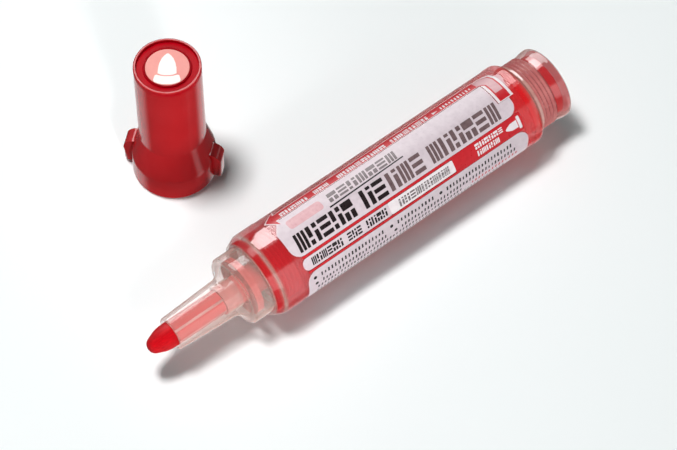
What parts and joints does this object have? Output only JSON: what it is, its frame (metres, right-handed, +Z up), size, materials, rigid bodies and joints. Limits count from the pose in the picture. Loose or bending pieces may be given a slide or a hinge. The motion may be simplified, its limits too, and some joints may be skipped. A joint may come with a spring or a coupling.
{
  "type": "whiteboard marker",
  "caption": "Refillable bullet-point whiteboard marker with a translucent barrel, push-pump tail and ink cartridge, lying beside its standing cap.",
  "frame": {"origin": "on the table plane, under the middle of the layout's box: pen on its barrel, cap on its mouth", "axes": "+X along the pen from nib to tail, +Y from the pen towards the standing cap, +Z up"},
  "size_m": [0.1174, 0.0627, 0.0398],
  "materials": {
    "clear_plastic": "glossy translucent polypropylene with a pink-beige cast",
    "red_rubber": "satin red seal rubber",
    "soft_elastomer": "satin translucent elastomer",
    "label_print": "glossy printed film, red bands and pale panels with no lettering",
    "ink_felt": "ink-soaked felt, fine fibre grain",
    "ink_fibre": "ink-soaked fibre rod",
    "collector_plastic": "moulded plastic wetted with red ink",
    "cap_plastic": "glossy moulded red plastic",
    "seal_plastic": "soft natural polyethylene",
    "disc_print": "satin pink disc with a white nib symbol",
    "cartridge_plastic": "translucent polyethylene",
    "red_ink": "liquid red ink"
  },
  "bodies": {
    "pen": {"barrel": "clear_plastic", "label_film": "label_print", "barrel_gasket": "red_rubber", "front_section": "clear_plastic", "section_gasket": "red_rubber", "ink_collector": "collector_plastic", "feed_wick": "ink_fibre", "nib": "ink_felt"},
    "cap": {"cap_shell": "cap_plastic", "cap_inner_seal": "seal_plastic", "cap_top_disc": "disc_print"},
    "refill": {"rear_plug": "clear_plastic", "plug_o_ring": "red_rubber", "air_valve": "soft_elastomer", "cartridge_tube": "cartridge_plastic", "cartridge_neck_seal": "soft_elastomer", "cartridge_end_cap": "cartridge_plastic", "ink_charge": "red_ink", "pump_bellows": "soft_elastomer"},
    "pump": {"pump_button": "clear_plastic"}
  },
  "joints": [
    {"name": "cap_lift", "type": "slide", "parent": "pen", "child": "cap", "axis": [0, 0, 1], "range_m": [0, 0.06]},
    {"name": "plug_pull", "type": "slide", "parent": "pen", "child": "refill", "axis": [1, 0, 0], "range_m": [0, 0.065]},
    {"name": "pump_press", "type": "slide", "parent": "refill", "child": "pump", "axis": [-1, 0, 0], "range_m": [0, 0.002], "stiffness_N_per_m": 1500, "deforming": ["pump_bellows"]}
  ]
}
